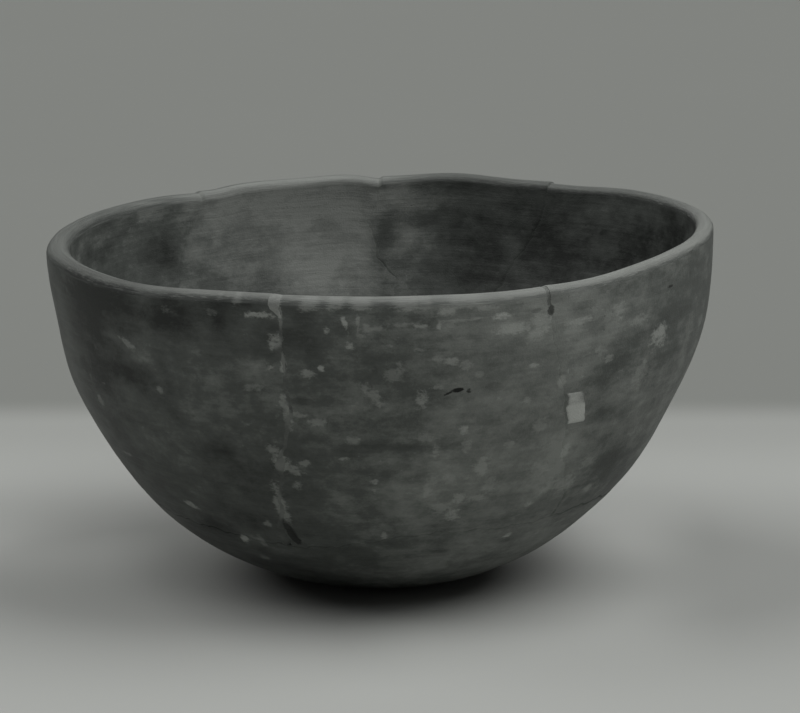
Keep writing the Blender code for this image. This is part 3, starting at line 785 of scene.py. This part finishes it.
def spaced(length, spacing, ends=2):
    """Shares of a length at an even spacing, with closer ones beside its worn ends."""
    near = np.array(EDGE_STEPS) / length
    count = max(2, round((length - ends * EDGE_STEPS[-1]) / spacing))
    last = 1.0 - (near[-1] if ends == 2 else 0.0)
    middle = np.linspace(near[-1], last, count + 1)[1:]
    steps = np.concatenate([near, middle])
    return np.concatenate([steps, (1 - near[::-1])[1:]]) if ends == 2 else steps


def sherd_foot(azimuth, _):
    """The course just above the break round the base."""
    foot = break_share(azimuth)
    return foot + share_step(foot, BREAK_GAP)


def lip_line(azimuth, _):
    return np.ones_like(azimuth)


def wall_net(name, edges, lip_rises, spans, rises, low=sherd_foot, high=lip_line, **ways):
    """A net for a piece of the wall between two edges and two courses, closed all round.

    edges give an azimuth at each height; spans and rises are the shares of the way across and
    up where points lie. A piece that ends at the lip is rounded over there. ways may hold inner,
    how much of the wall's thickness the piece takes, and proud, a function of the height and the
    share of the way across that gives how far the outer face stands out.
    """
    left, right = edges
    middle = float(left(MIDDLE_HEIGHT) + right(MIDDLE_HEIGHT)) / 2
    azimuth = np.full((len(rises), len(spans)), middle)
    # An edge's place depends on the height, and the height on the place: a few rounds settle it
    for _ in range(SETTLING_ROUNDS):
        foot = low(azimuth, lip_rises)
        t = foot + (high(azimuth, lip_rises) - foot) * rises[:, None]
        height = curve_height(t)
        height = height + rise_at(height, azimuth, lip_rises)
        azimuth = left(height) * (1 - spans) + right(height) * spans
    per_turn = curve_radius(t) * math.pi / 180
    ease = np.minimum(azimuth - left(height), right(height) - azimuth) * per_turn
    ease = np.minimum(ease, (t - foot) / share_step(foot, 1.0))
    points = LIP_POINTS if high is lip_line else 0
    turns = np.pi * np.arange(1, points + 1) / (points + 1)
    crown = np.concatenate([0 * rises, np.sin(turns), 0 * rises])
    inner = ways.get("inner", 1.0)
    depth = np.concatenate([0 * rises, inner * (1 - np.cos(turns)) / 2, 0 * rises + inner])
    proud = ways["proud"](height, spans) if "proud" in ways else 0 * t

    def looped(values):
        return np.concatenate([values, np.repeat(values[-1:], points, 0), values[::-1]])

    azimuth, t, ease, proud = looped(azimuth), looped(t), looped(ease), looped(proud)
    crown = np.broadcast_to(crown[:, None], azimuth.shape)
    depth = np.broadcast_to(depth[:, None], azimuth.shape)
    rise = rise_at(curve_height(t), azimuth, lip_rises)
    count, wide = azimuth.shape
    faces = stitched(count, wide)
    tall = len(rises)
    for k, turned in ((0, False), (wide - 1, True)):
        ends = [(i, i + 1, count - 2 - i, count - 1 - i) for i in range(tall - 1)]
        if points:
            ends.append(tuple(range(tall - 1, count - tall + 1)))
        for end in ends:
            face = [i * wide + k for i in end]
            faces.append(face[::-1] if turned else face)
    return make_net(name, azimuth, t, depth, crown, rise, ease, faces, proud)


def chipped(height):
    """0 below the chip in the lip, 1 at the top of the wall."""
    return grown(height, SPRING_HEIGHT - CHIP_DEPTH, SPRING_HEIGHT)


def corner_lost(height):
    """1 where the front sherd lost its lower corner, 0 above."""
    return 1 - grown(height, CORNER_LOSS_LOW, CORNER_LOSS_HIGH)


def nick_open(height):
    return grown(height, SPRING_HEIGHT - NICK_DEPTH, SPRING_HEIGHT)


def chip_left(height):
    return CHIP_LEFT * chipped(height)


def chip_right(height):
    return CHIP_RIGHT * chipped(height) + CORNER_LOSS_WIDTH * corner_lost(height)


def nick_side(height):
    return NICK_WIDTH * nick_open(height)


def before(join, lost=lambda _: 0.0):
    """The edge of the piece on the left of a join; lost(height) is what it stands back more."""
    seed = COURSE_SEEDS[join] + 1
    return side_of(join, lambda height: -SHERD_BACK - chips(height, seed) - lost(height))


def after(join, lost=lambda _: 0.0):
    """The edge of the piece on the right of a join."""
    seed = COURSE_SEEDS[join] + 2
    return side_of(join, lambda height: SHERD_BACK + chips(height, seed) + lost(height))


def turned_round(edge):
    return lambda height: edge(height) - 360.0


front_left = (turned_round(after(JOIN_BACK_LEFT)), before(JOIN_FRONT_LEFT, chip_left))
front = (after(JOIN_FRONT_LEFT, chip_right), before(JOIN_FRONT_RIGHT, nick_side))
right_side = (after(JOIN_FRONT_RIGHT, nick_side), before(JOIN_BACK_RIGHT))
back_right = (after(JOIN_BACK_RIGHT), before(JOIN_BACK))
back_left = (after(JOIN_BACK), before(JOIN_BACK_LEFT))
wall_sherds = (
    ("wall_sherd_front_left", front_left, LIP_FRONT_LEFT, 0.00058),
    ("wall_sherd_front", front, LIP_FRONT, 0.00042),
    ("wall_sherd_right", right_side, LIP_RIGHT, 0.00055),
    ("wall_sherd_back_right", back_right, LIP_BACK_RIGHT, 0.00050),
    ("wall_sherd_back_left", back_left, LIP_BACK_LEFT, 0.00050),
)
for node, (left, right), lip_rises, spacing in wall_sherds:
    start, end = left(MIDDLE_HEIGHT), right(MIDDLE_HEIGHT)
    wide = math.radians(end - start) * RIM_RADIUS
    tall = (1 - break_share((start + end) / 2)) * PROFILE_LENGTH
    spans, rises = spaced(wide, spacing), spaced(tall, spacing, 1)
    net = wall_net(node + "_fine", (left, right), lip_rises, spans, rises)
    seat(bake(net, burnished_clay), node)

# Mend round the base
# A line of filler, toned to the clay, between the base sherd and the wall sherds on it.
FILL_LAP = 0.00022
FILL_DIP = 0.00006
FILLER_RELIEF = {"Pit_Depth": 0.0001, "Grain_Depth": 0.00002, "Edge_Wear": 0.0}
RING_COLUMNS = 720
RING_ROWS = 7

toned_filler = clay_finish("toned_filler", filled=True)


def feathered(height, spans):
    """Filler is rubbed over the worn edges at both sides of its join and thins out there."""
    away = np.abs(spans * 2 - 1)
    return 0 * height - FILL_DIP * away**6


def ring_net(name):
    azimuth = np.arange(RING_COLUMNS) * 360.0 / RING_COLUMNS
    middle = break_share(azimuth)
    steps = np.linspace(-1.0, 1.0, RING_ROWS)[:, None]
    t = middle + share_step(middle, BREAK_GAP + FILL_LAP) * steps
    proud = feathered(0 * t, (steps + 1) / 2)
    t, proud = np.concatenate([t, t[::-1]]), np.concatenate([proud, proud[::-1]])
    depth = np.repeat([0.0, 1.0], RING_ROWS)[:, None] + 0 * t
    faces = stitched(2 * RING_ROWS, RING_COLUMNS, True)
    none = 0 * t
    return make_net(name, azimuth + none, t, depth, none, none, none + 1, faces, proud)


base_ring = bake(ring_net("mend_base_ring_fine"), toned_filler, **FILLER_RELIEF)
seat(base_ring, "mend_base_ring")

# Mends in the upright joins
# Strips of filler from the base to the lip. The front left one was left pale and is smeared over
# the clay beside it here and there; the others are toned dark.
MEND_SPANS = np.linspace(0.0, 1.0, 12)
MEND_RISES = np.linspace(0.0, 1.0, 200)
NICK_SUNK = 0.00015
SMEAR_PROUD = 0.00012
CORNER_SUNK = 0.0004
STRIP_BELOW_CHIP = 0.0002
# Where the pale filler was smeared: height, extra reach to the left and the right, and length
SMEARS = (
    (0.0658, 0.0010, 0.0, 0.0022), (0.0500, 0.0002, 0.0003, 0.0030),
    (0.0392, 0.0006, 0.0008, 0.0026), (0.0235, 0.0003, 0.0002, 0.0060),
)


def joining(first, second, spans):
    """The lip across a join, from the height of its left neighbour's to its right neighbour's."""
    share = np.clip((spans - 0.2) / 0.6, 0.0, 1.0)
    left = tuple((place, amount * (1 - share), around) for place, amount, around in first)
    return left + tuple((place, amount * share, around) for place, amount, around in second)


def smeared(height, side):
    """Extra reach of the pale filler on one side, 0 the left and 1 the right."""
    return sum(smear[1 + side] * bell(height - smear[0], smear[3] / 2) for smear in SMEARS)


def level_course(height):
    """The course that is this high all round, whatever the lip above it does."""

    def course(azimuth, lip_rises):
        plain = height - rise_at(height, azimuth, lip_rises)
        return share_at_height(height - rise_at(plain, azimuth, lip_rises))

    return course


def filler_finish(name, colour, lighter, darker, edge_dirt=0.0, darker_above=None):
    """Fine filler, pressed in wet and scraped: matt, chalky, dirty along its feathered edges.

    The last argument is the height above which it is darker.
    """
    material, tree, shader = start_material(name)
    here = add_node(tree, "ShaderNodeTexCoord").outputs["Object"]
    smudge = noise(here, 420.0, 3.0, 0.6, (0.6, 0.6, 1.0))
    grain = noise(here, 2800.0, 2.0, 0.7)
    marked = (felt(tree, "pale") + smudge * 0.6).between(0.5, 1.3) * felt(tree, "pale_force")
    # The shade word brings in the soft marks, with their painted light and shade
    tone = smudge * 0.9 + grain * 0.3 + felt(tree, "shade") * 0.8 + marked * 1.8
    tone = tone - felt(tree, "worn") * edge_dirt
    if darker_above:
        height = Number(tree, add_node(tree, "ShaderNodeSeparateXYZ", Vector=here).outputs[2])
        tone = tone - (height + smudge * 0.0012).between(darker_above - 0.0004, darker_above + 0.0008) * 0.75
    pale = blend_colours(tree, tone.between(0.0, 1.0, False), colour, lighter)
    whole = blend_colours(tree, (tone * -1).between(0.0, 1.0, False), pale, darker)
    # Painted shade in hollows from the dark marks, such as the lost corner at the foot of the
    # front left join
    lost = (felt(tree, "dark") + smudge * 0.4).between(0.55, 1.15) * felt(tree, "dark_force")
    whole = blend_colours(tree, lost, whole, HOLLOW_SHADE_DARK)
    surface(tree, shader, whole, 0.82 + grain * 0.06, 0.2)
    bumped(tree, shader, grain * 0.6 + smudge * 0.4)
    return material


pale_filler = filler_finish(
    "pale_filler",
    (0.105, 0.111, 0.104, 1.0),
    (0.185, 0.193, 0.181, 1.0),
    (0.040, 0.043, 0.040, 1.0),
)


def pale_strip_form(height, spans):
    """The front left strip: proud where it was smeared, hollow in the lost corner at its foot."""
    smear = np.clip(smeared(height, 0) * 2000, 0.0, 1.0)
    lost = corner_lost(height) * np.clip(spans * 3 - 1, 0.0, 1.0)
    return feathered(height, spans) + SMEAR_PROUD * smear - CORNER_SUNK * lost


def nicked(height, spans):
    """The front right strip: sunk where it meets the nick in the lip."""
    return feathered(height, spans) - NICK_SUNK * nick_open(height)


def under_sherd(_):
    return FILL_LAP


def smeared_left(height):
    return FILL_LAP + smeared(height, 0)


def smeared_right(height):
    return FILL_LAP + smeared(height, 1) + CORNER_LOSS_WIDTH * corner_lost(height)


def strip(node, join, neighbours, finish, form, laps=(under_sherd,) * 2, high=lip_line):
    """A strip of filler in a join; laps are how far it reaches under the sherds on both sides."""
    net = wall_net(
        node + "_fine",
        (before(join, laps[0]), after(join, laps[1])),
        joining(*neighbours, MEND_SPANS),
        MEND_SPANS,
        MEND_RISES,
        high=high,
        proud=form,
    )
    seat(bake(net, finish, **FILLER_RELIEF), node)


strip(
    "mend_front_left",
    JOIN_FRONT_LEFT,
    (LIP_FRONT_LEFT, LIP_FRONT),
    pale_filler,
    pale_strip_form,
    (smeared_left, smeared_right),
    level_course(SPRING_HEIGHT - CHIP_DEPTH - STRIP_BELOW_CHIP),
)
dark_strips = (
    ("mend_front_right", JOIN_FRONT_RIGHT, (LIP_FRONT, LIP_RIGHT), nicked),
    ("mend_back_right", JOIN_BACK_RIGHT, (LIP_RIGHT, LIP_BACK_RIGHT), feathered),
    ("mend_back", JOIN_BACK, (LIP_BACK_RIGHT, LIP_BACK_LEFT), feathered),
    ("mend_back_left", JOIN_BACK_LEFT, (LIP_BACK_LEFT, LIP_FRONT_LEFT), feathered),
)
for node, join, neighbours, form in dark_strips:
    strip(node, join, neighbours, toned_filler, form)

# Wedge in the lip
# Plaster run into the chipped corner of the lip at the front left join and rounded over.
WEDGE_LAP = 0.00008
WEDGE_BELOW_CHIP = 0.0004
WEDGE_SPANS = np.linspace(0.0, 1.0, 16)
WEDGE_RISES = np.linspace(0.0, 1.0, 14)


def wedge_left(height):
    return chip_left(height) + WEDGE_LAP


def wedge_right(height):
    return SHERD_BACK + CHIP_RIGHT * chipped(height) + WEDGE_LAP


plaster = filler_finish(
    "plaster", (0.225, 0.234, 0.220, 1.0), (0.300, 0.310, 0.292, 1.0), (0.085, 0.090, 0.084, 1.0)
)
wedge = wall_net(
    "lip_wedge_plaster_fine",
    (before(JOIN_FRONT_LEFT, wedge_left), side_of(JOIN_FRONT_LEFT, wedge_right)),
    joining(LIP_FRONT_LEFT, LIP_FRONT, WEDGE_SPANS),
    WEDGE_SPANS,
    WEDGE_RISES,
    low=level_course(SPRING_HEIGHT - CHIP_DEPTH - WEDGE_BELOW_CHIP),
    proud=feathered,
)
seat(bake(wedge, plaster, **FILLER_RELIEF), "lip_wedge_plaster")

# Patch in the spall
# A square of plaster in the shallow spall beside the front right join, darker near its top.
SPALL_LOW = 0.0465
SPALL_HIGH = 0.0545
SPALL_WIDTH = 0.0054
SPALL_DARKER_ABOVE = 0.0512
SPALL_ROUND = 0.0012
SPALL_CORNER = 0.0008
SPALL_INNER = 0.33
SPALL_SEED = 8
PATCH_PROUD = 0.00010
PATCH_SUNK = 0.00016
PATCH_EDGE = 0.0004
PATCH_SPACING = 0.0004
PATCH_WORN = 0.0006


def from_ends(height):
    """How far inside the spall's top and bottom this height is."""
    return np.minimum(height - SPALL_LOW, SPALL_HIGH - height)


def spall_edge(height):
    """The far side of the spall: nearly straight, its corners rounded."""
    near = np.clip(1 - from_ends(height) / SPALL_ROUND, 0.0, 1.0)
    rough = wander(height, SPALL_SEED) * 0.4 - wander(height, COURSE_SEEDS[JOIN_FRONT_RIGHT])
    return SPALL_WIDTH + rough - SPALL_CORNER * near**2


def patch_proud(height, spans):
    """The patch stands a little proud, with its edges rubbed down."""
    side = np.minimum(spans, 1 - spans) * SPALL_WIDTH
    near = np.minimum(side, from_ends(height)) / PATCH_EDGE
    return PATCH_PROUD - PATCH_SUNK * np.exp(-(np.clip(near, 0.0, 9.0) ** 2))


patch = wall_net(
    "spall_patch_plaster_fine",
    (side_of(JOIN_FRONT_RIGHT, lambda _: 0.0), side_of(JOIN_FRONT_RIGHT, spall_edge)),
    LIP_RIGHT,
    spaced(SPALL_WIDTH, PATCH_SPACING),
    spaced(SPALL_HIGH - SPALL_LOW, PATCH_SPACING),
    low=level_course(SPALL_LOW),
    high=level_course(SPALL_HIGH),
    inner=SPALL_INNER,
    proud=patch_proud,
)
patch_plaster = filler_finish(
    "patch_plaster",
    (0.440, 0.453, 0.429, 1.0),
    (0.510, 0.525, 0.497, 1.0),
    (0.130, 0.136, 0.128, 1.0),
    edge_dirt=0.9,
    darker_above=SPALL_DARKER_ABOVE,
)
patch = bake(patch, patch_plaster, Edge_Width=PATCH_WORN, **FILLER_RELIEF)
seat(patch, "spall_patch_plaster")

# Floor
# A wide sheet of pale paper under the bowl, dimmer behind it and darker far behind it, with
# painted light beside and in front of the bowl that lifts the shadow falling there.
FLOOR_PALE = (0.345, 0.353, 0.337, 1.0)
FLOOR_PAINTED_LIGHT = (0.500, 0.512, 0.489, 1.0)
FLOOR_FAR = (0.193, 0.200, 0.187, 1.0)
FLOOR_REACH = 12.0
FLOOR_TURN = 0.167
FLOOR_DIM = (0.08, 0.15)
FLOOR_DIM_SHARE = 0.35
# Painted light that lifts the bowl's shadow on the paper: how far back each place lies and its
# reach to front and back, its side, where it comes up and where it ends on that side, and how
# strong it is
PAINTED_LIGHT_PLACES = (
    (0.020, 0.028, -1, (0.045, 0.065), (0.088, 0.125), 0.85),
    (0.030, 0.030, 1, (0.030, 0.050), (0.055, 0.080), 0.95),
    (-0.042, 0.030, 1, (-0.010, 0.012), (0.050, 0.080), 0.55),
)


def floor_finish():
    material, tree, shader = start_material("pale_paper")
    here = add_node(tree, "ShaderNodeTexCoord").outputs["Object"]
    apart = add_node(tree, "ShaderNodeSeparateXYZ", Vector=here)
    across, back = Number(tree, apart.outputs[0]), Number(tree, apart.outputs[1])
    far = back.between(FLOOR_TURN - 0.018, FLOOR_TURN + 0.014) * (1 - FLOOR_DIM_SHARE)
    far = far + back.between(*FLOOR_DIM) * FLOOR_DIM_SHARE
    mottle = noise(here, 9.0, 2.0) * 0.02
    # Painted light where the bowl's shadow falls on the paper
    painted_light = 0.0
    for middle, reach, side, start, end, share in PAINTED_LIGHT_PLACES:
        aside = across * side
        band = (((back - middle) / reach) ** 2 * -1).maths("EXPONENT")
        painted_light = band * aside.between(*start) * (1 - aside.between(*end)) * share + painted_light
    paper = blend_colours(tree, painted_light.maths("MINIMUM", 1.0), FLOOR_PALE, FLOOR_PAINTED_LIGHT)
    surface(tree, shader, blend_colours(tree, far + mottle, paper, FLOOR_FAR), 0.9, 0.2)
    return material


sheet = bpy.data.meshes.new("floor")
corners = ((-1, -1), (1, -1), (1, 1), (-1, 1))
corners = [(x * FLOOR_REACH, y * FLOOR_REACH, 0) for x, y in corners]
sheet.from_pydata(corners, [], [(0, 1, 2, 3)])
sheet.materials.append(floor_finish())
floor = new_object("floor", sheet)

# Lights
# Broad soft lamps high on the right and the left, a weaker one over the front, and a little even
# light from all round.
ROUND_LIGHT = 0.08
LAMP_SPREAD = 50.0


def soft_lamp(name, azimuth, elevation, floor_light):
    """A far lamp; floor_light is the share of a white floor's brightness that it gives."""
    turn, climb = math.radians(azimuth), math.radians(elevation)
    towards = Vector(
        (math.sin(turn) * math.cos(climb), -math.cos(turn) * math.cos(climb), math.sin(climb))
    )
    data = bpy.data.lights.new(name, "SUN")
    data.energy = floor_light * math.pi / math.sin(climb)
    data.angle = math.radians(LAMP_SPREAD)
    lamp = new_object(name, data)
    lamp.location = towards * 2
    lamp.rotation_euler = towards.to_track_quat("Z", "Y").to_euler()


soft_lamp("lamp_right", 92.0, 56.0, 0.44)
soft_lamp("lamp_left", 265.0, 50.0, 0.36)
soft_lamp("lamp_front", 30.0, 62.0, 0.22)

world = bpy.data.worlds.new("studio")
bpy.context.scene.world = world
world.use_nodes = True
sky = world.node_tree
glow = sky.nodes["Background"]
glow.inputs["Color"].default_value = (1.0, 1.0, 1.0, 1.0)
glow.inputs["Strength"].default_value = ROUND_LIGHT
behind = add_node(sky, "ShaderNodeBackground", Color=FLOOR_FAR, Strength=1.0)
seen = add_node(sky, "ShaderNodeLightPath").outputs["Is Camera Ray"]
choice = add_node(sky, "ShaderNodeMixShader", Fac=seen)
sky.links.new(glow.outputs[0], choice.inputs[1])
sky.links.new(behind.outputs[0], choice.inputs[2])
sky.links.new(choice.outputs[0], sky.nodes["World Output"].inputs["Surface"])

# Camera
# Across the table from the bowl and a little above its lip, with a long lens.
CAMERA_DISTANCE = 1.1
CAMERA_ELEVATION = 12.67
AIM_HEIGHT = 0.0376
LENS = 218.34
PIXELS_PER_TURN = 4852.0
AIM_RIGHT = 20.7
AIM_UP = 52.6

climb = math.radians(CAMERA_ELEVATION)
view = bpy.data.cameras.new("camera")
view.sensor_width = 36.0
view.lens = LENS
view.clip_start = 0.05
view.clip_end = 60.0
camera = new_object("camera", view)
camera.location = (
    0.0,
    -CAMERA_DISTANCE * math.cos(climb),
    AIM_HEIGHT + CAMERA_DISTANCE * math.sin(climb),
)
ahead = Vector((0.0, math.cos(climb), -math.sin(climb)))
upward = Vector((0.0, math.sin(climb), math.cos(climb)))
aim = ahead + Vector((1.0, 0.0, 0.0)) * AIM_RIGHT / PIXELS_PER_TURN
aim += upward * AIM_UP / PIXELS_PER_TURN
camera.rotation_euler = aim.to_track_quat("-Z", "Y").to_euler()
bpy.context.scene.camera = camera
bpy.context.scene.view_settings.view_transform = "Standard"
